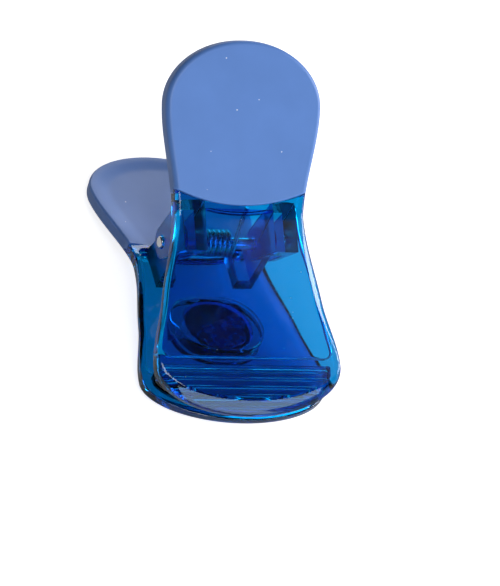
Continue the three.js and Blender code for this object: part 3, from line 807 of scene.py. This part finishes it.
def spring_path():
    """Points along the wire, and the coil's two ends across."""
    radius = PIN_RADIUS + SPRING_PLAY + SPRING_WIRE / 2
    foot = lever_point(0, SEAM_ALONG - SPRING_FOOT_MARGIN, HEEL_DEPTH + SEAT_GAP + SPRING_WIRE / 2)
    arm = Vector((-foot.y, foot.z - HINGE_HEIGHT))
    leave = math.atan2(arm.y, arm.x) + math.acos(radius / arm.length)
    enter = math.pi - leave
    sweep = SPRING_TURNS * 2 * math.pi + (enter - leave) % (2 * math.pi)
    width = SPRING_PITCH * sweep / (2 * math.pi)
    left = SPRING_CENTRE - width / 2
    right = SPRING_CENTRE + width / 2
    steps = round(sweep / COIL_STEP)
    coil = []
    for i in range(steps + 1):
        turn = enter - sweep * i / steps
        across = lerp(left, right, i / steps)
        coil.append(Vector((across, radius * math.cos(turn), HINGE_HEIGHT + radius * math.sin(turn))))
    first = Vector((left, foot.y, foot.z))
    last = Vector((right, -foot.y, foot.z))
    start = [first.lerp(coil[0], i / LEG_STEPS) for i in range(LEG_STEPS)]
    end = [coil[-1].lerp(last, i / LEG_STEPS) for i in range(1, LEG_STEPS + 1)]
    return start + coil + end, left, right


def wire(path, radius):
    """A round wire along a path, with slightly rounded ends; the section is carried without twist."""
    tangents = []
    for i in range(len(path)):
        tangents.append((path[min(i + 1, len(path) - 1)] - path[max(i - 1, 0)]).normalized())
    share = WIRE_END_SHARE
    turns = quarter(SOFT_STEPS)
    cuts = [(radius * share * (1 - math.cos(t)), 1 - share * (1 - math.sin(t))) for t in turns]
    rings = [(path[0] + tangents[0] * run, tangents[0], scale) for run, scale in cuts]
    rings += [(place, tangent, 1.0) for place, tangent in zip(path[1:-1], tangents[1:-1])]
    rings += [(path[-1] - tangents[-1] * run, tangents[-1], scale) for run, scale in reversed(cuts)]
    vertices, faces = [], [tuple(range(SPRING_SIDES - 1, -1, -1))]
    normal = Vector((1, 0, 0))
    for place, tangent, scale in rings:
        normal = (normal - tangent * normal.dot(tangent)).normalized()
        side = tangent.cross(normal)
        rim = circle(radius * scale, SPRING_SIDES)
        vertices += [place + normal * u + side * v for u, v in rim]
    for r in range(len(rings) - 1):
        faces += ring_faces(r * SPRING_SIDES, (r + 1) * SPRING_SIDES, SPRING_SIDES)
    last = (len(rings) - 1) * SPRING_SIDES
    faces.append(tuple(range(last, last + SPRING_SIDES)))
    return vertices, faces


# Solids


def body_of(shape):
    """An object from a shape, in the scene, still in the clip's frame."""
    mesh = bpy.data.meshes.new("shape")
    mesh.from_pydata([tuple(v) for v in shape[0]], [], shape[1])
    body = bpy.data.objects.new("shape", mesh)
    bpy.context.scene.collection.objects.link(body)
    return body


def combined(body, operation, shapes):
    """Joins, cuts or intersects a body with each shape in turn."""
    for shape in shapes:
        tool = shape if isinstance(shape, bpy.types.Object) else body_of(shape)
        step = body.modifiers.new("step", "BOOLEAN")
        step.operation = operation
        step.solver = "MANIFOLD"
        step.object = tool
        graph = bpy.context.evaluated_depsgraph_get()
        before = body.data
        body.data = bpy.data.meshes.new_from_object(body.evaluated_get(graph))
        body.modifiers.clear()
        bpy.data.meshes.remove(before)
        bpy.data.meshes.remove(tool.data)
    return body


def shell_body(lugs):
    body = combined(body_of(shell_plate()), "DIFFERENCE", grip_sides(GRIP_SEAM) + [hollow(), heel()])
    body = combined(body, "UNION", [tongue(0.0), jaw_land()])
    body = combined(body, "DIFFERENCE", grooves())
    body = combined(body, "UNION", lugs)
    reach = PIN_HALF_LENGTH + LUG_THICKNESS
    bore = rod(BORE_RADIUS, reach, CUTTER_ROUND, 0, HINGE_HEIGHT, ROUND_SIDES)
    return combined(body, "DIFFERENCE", [bore])


def rear_shell():
    body = combined(shell_body(rear_lugs()), "UNION", [magnet_housing()])
    pocket = disc(POCKET_RADIUS, -MAGNET_THICKNESS, POCKET_DEPTH, CUTTER_ROUND)
    return combined(body, "DIFFERENCE", [pocket])


def grip_body():
    side = [[0.0, BEND_START - EDGE_ROUND]] + flank_side(BEND_START - BEND_LENGTH, BEND_START, 1)
    side += flank_side(BEND_START, BEND_END, BEND_STEPS) + flank_side(BEND_END, HEAD_ALONG, HANDLE_STEPS)
    side += head_side()
    rings = outer_edge() + inner_edge(GRIP_DEPTH, EDGE_ROUND / 2)
    dish = []
    for i in range(ROUND_STEPS + 1):
        part = i / ROUND_STEPS
        sunk = DISH_DEPTH * part * part * (3 - 2 * part)
        dish.append(level(DISH_RIM + DISH_SLOPE * part, GRIP_DEPTH - sunk))
    dish.append(level(DISH_RIM + DISH_SLOPE + SUPPORT, GRIP_DEPTH - DISH_DEPTH))
    outer, inner = grip_sides(0.0, SEAM_SOFT)
    cap = combined(body_of(outer), "UNION", [inner])
    body = combined(body_of(plate(loop_of(side), rings + dish)), "INTERSECT", [cap])
    return combined(body, "DIFFERENCE", [tongue(SEAT_GAP)])


def cleaned(mesh, matrix):
    """Cleans a mesh, moves it into the frame and marks its sharp folds; returns each vertex's fold."""
    edit = bmesh.new()
    edit.from_mesh(mesh)
    bmesh.ops.remove_doubles(edit, verts=edit.verts, dist=MERGE_DISTANCE)
    bmesh.ops.dissolve_degenerate(edit, edges=edit.edges, dist=LEAST_EDGE)
    bmesh.ops.transform(edit, matrix=matrix, verts=edit.verts)
    if matrix.determinant() < 0:
        bmesh.ops.reverse_faces(edit, faces=edit.faces)
    folds = [max(0.0, *(e.calc_face_angle_signed(0.0) for e in v.link_edges)) for v in edit.verts]
    for face in edit.faces:
        face.smooth = True
    for edge in edit.edges:
        angle = edge.calc_face_angle(0.0)
        areas = sorted(face.calc_area() for face in edge.link_faces)
        beside_flat = angle > FLAT_ANGLE and areas[-1] > FLAT_SHARE * areas[0]
        edge.smooth = angle < SHARP_ANGLE and not beside_flat
    edit.to_mesh(mesh)
    edit.free()
    return folds


def finished(name, body, matrix, material, node):
    """Places and shades a solid, and lets it stand for a node."""
    mesh = body.data
    folds = cleaned(mesh, matrix)
    worn = mesh.attributes.new("worn", "FLOAT", "POINT")
    worn.data.foreach_set("value", [clamp(angle / WORN_ANGLE) for angle in folds])
    mesh.materials.clear()
    mesh.materials.append(material)
    body.name = name
    mesh.name = name
    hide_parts(node)
    return body


def glue_body():
    """A pressed dab of adhesive with a wavy rim, one wiped side and bubbles in it."""
    draw = random.Random(DAB_SEED)
    waves = []
    for count in DAB_WAVE_COUNTS:
        size = draw.uniform(-DAB_WAVE, DAB_WAVE)
        waves.append((count, size, draw.uniform(0, 2 * math.pi)))
    outline = []
    for k in range(ROUND_SIDES):
        turn = 2 * math.pi * k / ROUND_SIDES
        wave = sum(size * math.sin(n * turn + start) for n, size, start in waves)
        radius = MAGNET_DIAMETER / 2 - DAB_MARGIN + wave
        across = math.cos(turn - DAB_SIDE) * radius
        radius *= min(1.0, DAB_WIPED / across) if across > 0 else 1.0
        outline.append((radius * math.cos(turn), radius * math.sin(turn)))
    low = MAGNET_THICKNESS + DAB_FOOT
    high = POCKET_DEPTH - DAB_HEADROOM
    body = body_of(on_rest_plane(outline, soft_levels(low, high, DAB_ROUND, SOFT_STEPS)))
    levels = soft_levels(low + BUBBLE_FLOOR, high + BUBBLE_PROUD, BUBBLE_ROUND, SOFT_STEPS)
    bubbles = []
    for _ in range(BUBBLE_COUNT):
        away = BUBBLE_REACH * math.sqrt(draw.random())
        turn = draw.uniform(0, 2 * math.pi)
        size = draw.uniform(*BUBBLE_RADII)
        round_rim = circle(size, BUBBLE_SIDES)
        rim = [(away * math.cos(turn) + x, away * math.sin(turn) + y) for x, y in round_rim]
        bubbles.append(on_rest_plane(rim, levels))
    return combined(body, "DIFFERENCE", bubbles)


# Camera and lamps


def directions(azimuth, elevation):
    """Level right, upright and backward directions of a view from that azimuth and elevation."""
    back = Vector((
        math.sin(azimuth) * math.cos(elevation),
        -math.cos(azimuth) * math.cos(elevation),
        math.sin(elevation),
    ))
    right = Vector((math.cos(azimuth), math.sin(azimuth), 0.0))
    return right, back.cross(right), back


def add_camera():
    right, up, back = directions(CAMERA_AZIMUTH, CAMERA_ELEVATION)
    turn = Matrix.Rotation(CAMERA_ROLL, 3, back)
    data = bpy.data.cameras.new("camera")
    data.sensor_width = SENSOR
    data.lens = PIXELS_PER_METRE * CAMERA_DISTANCE * SENSOR / IMAGE_HEIGHT
    data.clip_start = CAMERA_NEAR
    data.clip_end = CAMERA_FAR
    camera = bpy.data.objects.new("camera", data)
    camera.matrix_world = basis(AIM + back * CAMERA_DISTANCE, turn @ right, turn @ up, back)
    bpy.context.scene.collection.objects.link(camera)
    bpy.context.scene.camera = camera


def add_softbox(name, azimuth, elevation, distance, width, height, radiance, roll=0.0, tint=WHITE):
    """A rectangular lamp that faces the object, of the given radiance; angles are in degrees."""
    right, up, back = directions(math.radians(azimuth), math.radians(elevation))
    turn = Matrix.Rotation(math.radians(roll), 3, back)
    data = bpy.data.lights.new(name, "AREA")
    data.shape = "RECTANGLE"
    data.size = width
    data.size_y = height
    data.energy = radiance * math.pi * width * height
    data.color = tint
    lamp = bpy.data.objects.new(name, data)
    lamp.matrix_world = basis(AIM + back * distance, turn @ right, turn @ up, back)
    bpy.context.scene.collection.objects.link(lamp)


# Materials


class Nodes:
    """Short names for adding and joining the nodes of a material."""

    def __init__(self, name):
        self.material = bpy.data.materials.new(name)
        self.material.use_nodes = True
        self.tree = self.material.node_tree
        self.tree.nodes.clear()

    def add(self, kind, **values):
        node = self.tree.nodes.new("ShaderNode" + kind)
        for key, value in values.items():
            if key.startswith("in_"):
                node.inputs[key[3:].replace("_", " ")].default_value = value
            else:
                setattr(node, key, value)
        return node

    def join(self, source, target):
        self.tree.links.new(source, target)

    def principled(self, colour, roughness, **values):
        out = self.add("OutputMaterial")
        shader = self.add("BsdfPrincipled", in_Roughness=roughness, **values)
        shader.inputs["Base Color"].default_value = (*colour, 1.0)
        self.join(shader.outputs[0], out.inputs["Surface"])
        return shader, out

    def place(self, stretch):
        """Object coordinates in millimetres, stretched by those factors."""
        mapping = self.add("Mapping")
        mapping.inputs["Scale"].default_value = [1 / MM / s for s in stretch]
        self.join(self.add("TexCoord").outputs["Object"], mapping.inputs["Vector"])
        return mapping.outputs[0]

    def noise(self, size, detail, stretch=EVEN):
        """Noise from 0 to 1 whose features are that many millimetres across."""
        noise = self.add("TexNoise", in_Scale=1 / size, in_Detail=detail)
        self.join(self.place(stretch), noise.inputs["Vector"])
        return noise.outputs[0]

    def ranged(self, value, levels, results=FULL):
        """A value moved from one range to another and kept inside it."""
        node = self.add("MapRange")
        self.join(value, node.inputs[0])
        for i, number in enumerate((*levels, *results)):
            node.inputs[i + 1].default_value = number
        return node.outputs[0]

    def bump(self, height, distance, before=None):
        """A bump of that distance in millimetres, on top of another one."""
        node = self.add("Bump", in_Strength=1.0, in_Distance=distance * MM)
        self.join(height, node.inputs["Height"])
        if before is not None:
            self.join(before, node.inputs["Normal"])
        return node.outputs[0]

    def mixed(self, factor, first, second):
        """A colour between two, each a socket or a value."""
        node = self.add("Mix", data_type="RGBA")
        sockets = [s for s in node.inputs if s.enabled]
        self.join(factor, sockets[0])
        for socket, colour in zip(sockets[1:], (first, second)):
            if isinstance(colour, tuple):
                socket.default_value = (*colour, 1.0)
            else:
                self.join(colour, socket)
        return [s for s in node.outputs if s.enabled][0]

    def calculated(self, operation, first, second):
        node = self.add("Math", operation=operation)
        for socket, value in zip(node.inputs, (first, second)):
            if isinstance(value, (int, float)):
                socket.default_value = value
            else:
                self.join(value, socket)
        return node.outputs[0]

    def plus(self, value, mask, amount):
        """A value with an amount added where the mask is 1."""
        return self.calculated("ADD", value, self.calculated("MULTIPLY", mask, amount))

    def lug_sides(self):
        """A mask of the faces that lie square to the pin, no farther out than the lugs."""
        coordinates = self.add("TexCoord")
        masks = []
        for output, operation, limit in (
            ("Normal", "GREATER_THAN", FROST_FACING),
            ("Object", "LESS_THAN", (FRONT_LUG_OUTER + LUG_SOFT) * MM),
        ):
            split = self.add("SeparateXYZ")
            self.join(coordinates.outputs[output], split.inputs[0])
            away = self.calculated("ABSOLUTE", split.outputs[0], 0.0)
            masks.append(self.calculated(operation, away, limit))
        return self.calculated("MULTIPLY", *masks)

    def specks(self, spacing, radius, share):
        """A mask of small round specks, on a share of the cells of that spacing."""
        cells = self.add("TexVoronoi", in_Scale=1 / spacing)
        self.join(self.place(EVEN), cells.inputs["Vector"])
        near = self.calculated("LESS_THAN", cells.outputs["Distance"], radius / spacing)
        split = self.add("SeparateColor")
        self.join(cells.outputs["Color"], split.inputs[0])
        return self.calculated("MULTIPLY", near, self.calculated("LESS_THAN", split.outputs[0], share))


def shaded(colour, factor, lift=0.0):
    return tuple(min(1.0, factor * c + lift) for c in colour)


def clear_plastic(name):
    """Clear moulded plastic: tinted through, with flow waves, hairlines, frosted lug sides and dust."""
    n = Nodes(name)
    shader, out = n.principled(SHELL_TINT, SHELL_ROUGHNESS, in_IOR=SHELL_IOR)
    shader.inputs["Transmission Weight"].default_value = 1.0
    volume = n.add("VolumeAbsorption", in_Density=SHELL_DENSITY, in_Color=(*SHELL_ABSORBED, 1.0))
    n.join(volume.outputs[0], out.inputs["Volume"])
    hair = n.ranged(n.noise(HAIR_SIZE, PLAIN, HAIR_STRETCH), HAIR_LEVELS)
    dust = n.specks(*SHELL_DUST)
    rough = n.ranged(n.noise(SHELL_PATCH_SIZE, MIXED), MIDDLE, SHELL_PATCH_ROUGHNESS)
    rough = n.plus(rough, hair, HAIR_ROUGHNESS)
    rough = n.plus(rough, n.lug_sides(), FROST_ROUGHNESS)
    n.join(n.plus(rough, dust, DUST_ROUGHNESS), shader.inputs["Roughness"])
    n.join(n.mixed(dust, SHELL_TINT, SHELL_DUST_COLOUR), shader.inputs["Base Color"])
    waves = n.bump(n.noise(WAVE_SIZE, PLAIN), WAVE_HEIGHT)
    n.join(n.bump(hair, HAIR_HEIGHT, before=waves), shader.inputs["Normal"])
    return n.material


def satin_plastic(name):
    """Opaque satin plastic: fine spark grain, hazy patches, polished edges and dust."""
    n = Nodes(name)
    shader, _ = n.principled(GRIP_COLOUR, GRIP_ROUGHNESS, in_IOR=GRIP_IOR)
    cloud = n.ranged(n.noise(GRIP_CLOUD_SIZE, FINE), MIDDLE)
    rim = n.ranged(n.add("Attribute", attribute_name="worn").outputs["Fac"], WORN_LEVELS)
    patches = n.ranged(n.noise(WORN_PATCH_SIZE, FINE), WORN_PATCH_LEVELS, WORN_PATCH_SHARES)
    worn = n.calculated("MULTIPLY", rim, patches)
    body = n.mixed(cloud, shaded(GRIP_COLOUR, GRIP_DEEP), shaded(GRIP_COLOUR, *GRIP_PALE))
    body = n.mixed(worn, body, shaded(GRIP_COLOUR, *WORN_COLOUR))
    n.join(n.mixed(n.specks(*GRIP_DUST), body, GRIP_DUST_COLOUR), shader.inputs["Base Color"])
    rough = n.ranged(cloud, FULL, GRIP_CLOUD_ROUGHNESS)
    n.join(n.plus(rough, worn, -WORN_POLISH), shader.inputs["Roughness"])
    grain = n.bump(n.noise(GRIP_GRAIN_SIZE, MIXED), GRIP_GRAIN_HEIGHT)
    n.join(n.bump(n.noise(SINK_SIZE, PLAIN), SINK_HEIGHT, before=grain), shader.inputs["Normal"])
    return n.material


def steel(name, colour, roughness, mark_size, stretch):
    """Bright steel with drawing or turning marks, which run across the stretch."""
    n = Nodes(name)
    shader, _ = n.principled(colour, roughness, in_Metallic=1.0)
    marks = n.noise(mark_size, FINE, stretch)
    rough = n.ranged(marks, MIDDLE, (roughness * MARK_SMOOTH, roughness * MARK_ROUGH))
    n.join(rough, shader.inputs["Roughness"])
    stain = n.ranged(n.noise(STAIN_SIZE, MIXED), STAIN_LEVELS)
    n.join(n.mixed(stain, colour, shaded(colour, STAIN_DULL)), shader.inputs["Base Color"])
    n.join(n.bump(marks, MARK_HEIGHT), shader.inputs["Normal"])
    return n.material


def ferrite(name):
    """Sintered ferrite: dark and matt, with grain, rubbed patches and small pits."""
    n = Nodes(name)
    shader, _ = n.principled(FERRITE_COLOUR, FERRITE_ROUGHNESS)
    rubbed = n.ranged(n.noise(RUBBED_SIZE, FINE), RUBBED_LEVELS)
    n.join(n.mixed(rubbed, FERRITE_DARK, FERRITE_RUBBED), shader.inputs["Base Color"])
    n.join(n.ranged(rubbed, FULL, RUBBED_ROUGHNESS), shader.inputs["Roughness"])
    grain = n.bump(n.noise(SINTER_SIZE, FINE), SINTER_HEIGHT)
    pits = n.calculated("MULTIPLY", n.specks(*PITS), -1.0)
    n.join(n.bump(pits, PIT_DEPTH, before=grain), shader.inputs["Normal"])
    return n.material


def glue(name):
    """Dried clear adhesive: milky in places, rippled."""
    n = Nodes(name)
    shader, _ = n.principled(GLUE_COLOUR, GLUE_ROUGHNESS, in_IOR=GLUE_IOR)
    shader.inputs["Transmission Weight"].default_value = GLUE_CLEARNESS
    milky = n.ranged(n.noise(MILKY_SIZE, FINE), MILKY_LEVELS)
    n.join(n.mixed(milky, GLUE_CLEAR, GLUE_MILKY), shader.inputs["Base Color"])
    n.join(n.ranged(milky, FULL, MILKY_ROUGHNESS), shader.inputs["Roughness"])
    n.join(n.bump(n.noise(RIPPLE_SIZE, PLAIN), RIPPLE_HEIGHT), shader.inputs["Normal"])
    return n.material


def floor_material():
    """Pale table, whose own glow shows white in the picture, in the steel and through the plastic."""
    n = Nodes("floor")
    out = n.add("OutputMaterial")
    diffuse = n.add("BsdfDiffuse", in_Color=(*FLOOR_COLOUR, 1.0))
    glow = n.add("Emission", in_Color=(*WHITE, 1.0))
    path = n.add("LightPath")
    mirrored = n.calculated("MAXIMUM", path.outputs["Is Glossy Ray"], path.outputs["Is Transmission Ray"])
    seen = n.calculated("MULTIPLY", path.outputs["Is Camera Ray"], FLOOR_SEEN)
    glossed = n.calculated("MULTIPLY", mirrored, FLOOR_MIRRORED)
    n.join(n.calculated("MAXIMUM", seen, glossed), glow.inputs["Strength"])
    both = n.add("AddShader")
    n.join(diffuse.outputs[0], both.inputs[0])
    n.join(glow.outputs[0], both.inputs[1])
    n.join(both.outputs[0], out.inputs["Surface"])
    return n.material


# Table and room


def add_floor():
    """A round table top that rises to a low cove far out."""
    vertices, faces = [], [tuple(range(ROUND_SIDES))]
    for radius, rise in FLOOR_RINGS:
        vertices += [(x, y, rise) for x, y in circle(radius, ROUND_SIDES)]
    for r in range(len(FLOOR_RINGS) - 1):
        faces += ring_faces((r + 1) * ROUND_SIDES, r * ROUND_SIDES, ROUND_SIDES)
    mesh = bpy.data.meshes.new("floor")
    mesh.from_pydata(vertices, [], faces)
    mesh.materials.append(floor_material())
    mesh.shade_smooth()
    floor = bpy.data.objects.new("floor", mesh)
    floor.location.z = cad_box[0].z - FLOOR_GAP * MM
    bpy.context.scene.collection.objects.link(floor)


def add_world():
    world = bpy.data.worlds.new("studio")
    world.use_nodes = True
    background = world.node_tree.nodes["Background"]
    background.inputs["Color"].default_value = (*WHITE, 1.0)
    background.inputs["Strength"].default_value = ROOM_LIGHT
    bpy.context.scene.world = world


add_camera()
add_world()
add_floor()
add_softbox("right", azimuth=85, elevation=22, distance=1.6, width=0.8, height=0.8, radiance=10.0)
add_softbox("front", azimuth=-5, elevation=50, distance=1.6, width=0.8, height=0.8, radiance=5.4)
add_softbox("back", azimuth=162, elevation=20, distance=1.6, width=1.1, height=0.5, radiance=3.5)
add_softbox(
    "low_card", azimuth=22, elevation=16, distance=1.5, width=1.3, height=0.4, radiance=4.3, tint=SKY_TINT
)
add_softbox(
    "side_card", azimuth=69.85, elevation=53, distance=1.65, width=0.7, height=1.2, radiance=0.5, roll=-30
)
add_softbox("left_card", azimuth=-99, elevation=14, distance=1.5, width=0.5, height=0.4, radiance=0.3)

shell_material = clear_plastic("clear_blue")
grip_material = satin_plastic("satin_blue")
pin_material = steel("turned_steel", PIN_COLOUR, PIN_ROUGHNESS, PIN_MARK_SIZE, PIN_MARK_STRETCH)
spring_material = steel("drawn_steel", WIRE_COLOUR, WIRE_ROUGHNESS, WIRE_MARK_SIZE, WIRE_MARK_STRETCH)
magnet_material = ferrite("ferrite")
glue_material = glue("dried_glue")

# Pieces, each in place of its node, and all but the spring on its lever
to_rear = CLIP_TO_FRAME
to_front = CLIP_TO_FRAME @ MIRROR
shape = rear_shell()
rear = finished("rear_lever_shell", shape, to_rear, shell_material, "rear_shell")
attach(rear, "rear_lever")
shape = shell_body(front_lugs())
front = finished("front_lever_shell", shape, to_front, shell_material, "front_shell")
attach(front, "front_lever")
shape = grip_body()
rear_cap = finished("rear_satin_grip", shape, to_rear, grip_material, "rear_grip")
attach(rear_cap, "rear_lever")
shape = grip_body()
front_cap = finished("front_satin_grip", shape, to_front, grip_material, "front_grip")
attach(front_cap, "front_lever")
shape = body_of(rod(PIN_RADIUS, PIN_HALF_LENGTH, PIN_ROUND, 0, HINGE_HEIGHT, ROUND_SIDES // 2))
pin = finished("steel_pin", shape, to_rear, pin_material, "hinge_pin")
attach(pin, "rear_lever")
shape = body_of(disc(MAGNET_DIAMETER / 2, 0, MAGNET_THICKNESS, MAGNET_ROUND))
magnet = finished("ferrite_disc", shape, to_rear, magnet_material, "magnet")
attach(magnet, "rear_lever")
dab = finished("adhesive_dab", glue_body(), to_rear, glue_material, "magnet_adhesive")
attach(dab, "rear_lever")
wire_path, coil_left, coil_right = spring_path()
shape = body_of(wire(wire_path, SPRING_WIRE / 2))
spring = finished("wound_spring", shape, to_rear, spring_material, "torsion_spring")
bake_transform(spring)

view = bpy.context.scene.view_settings
view.view_transform = "Standard"
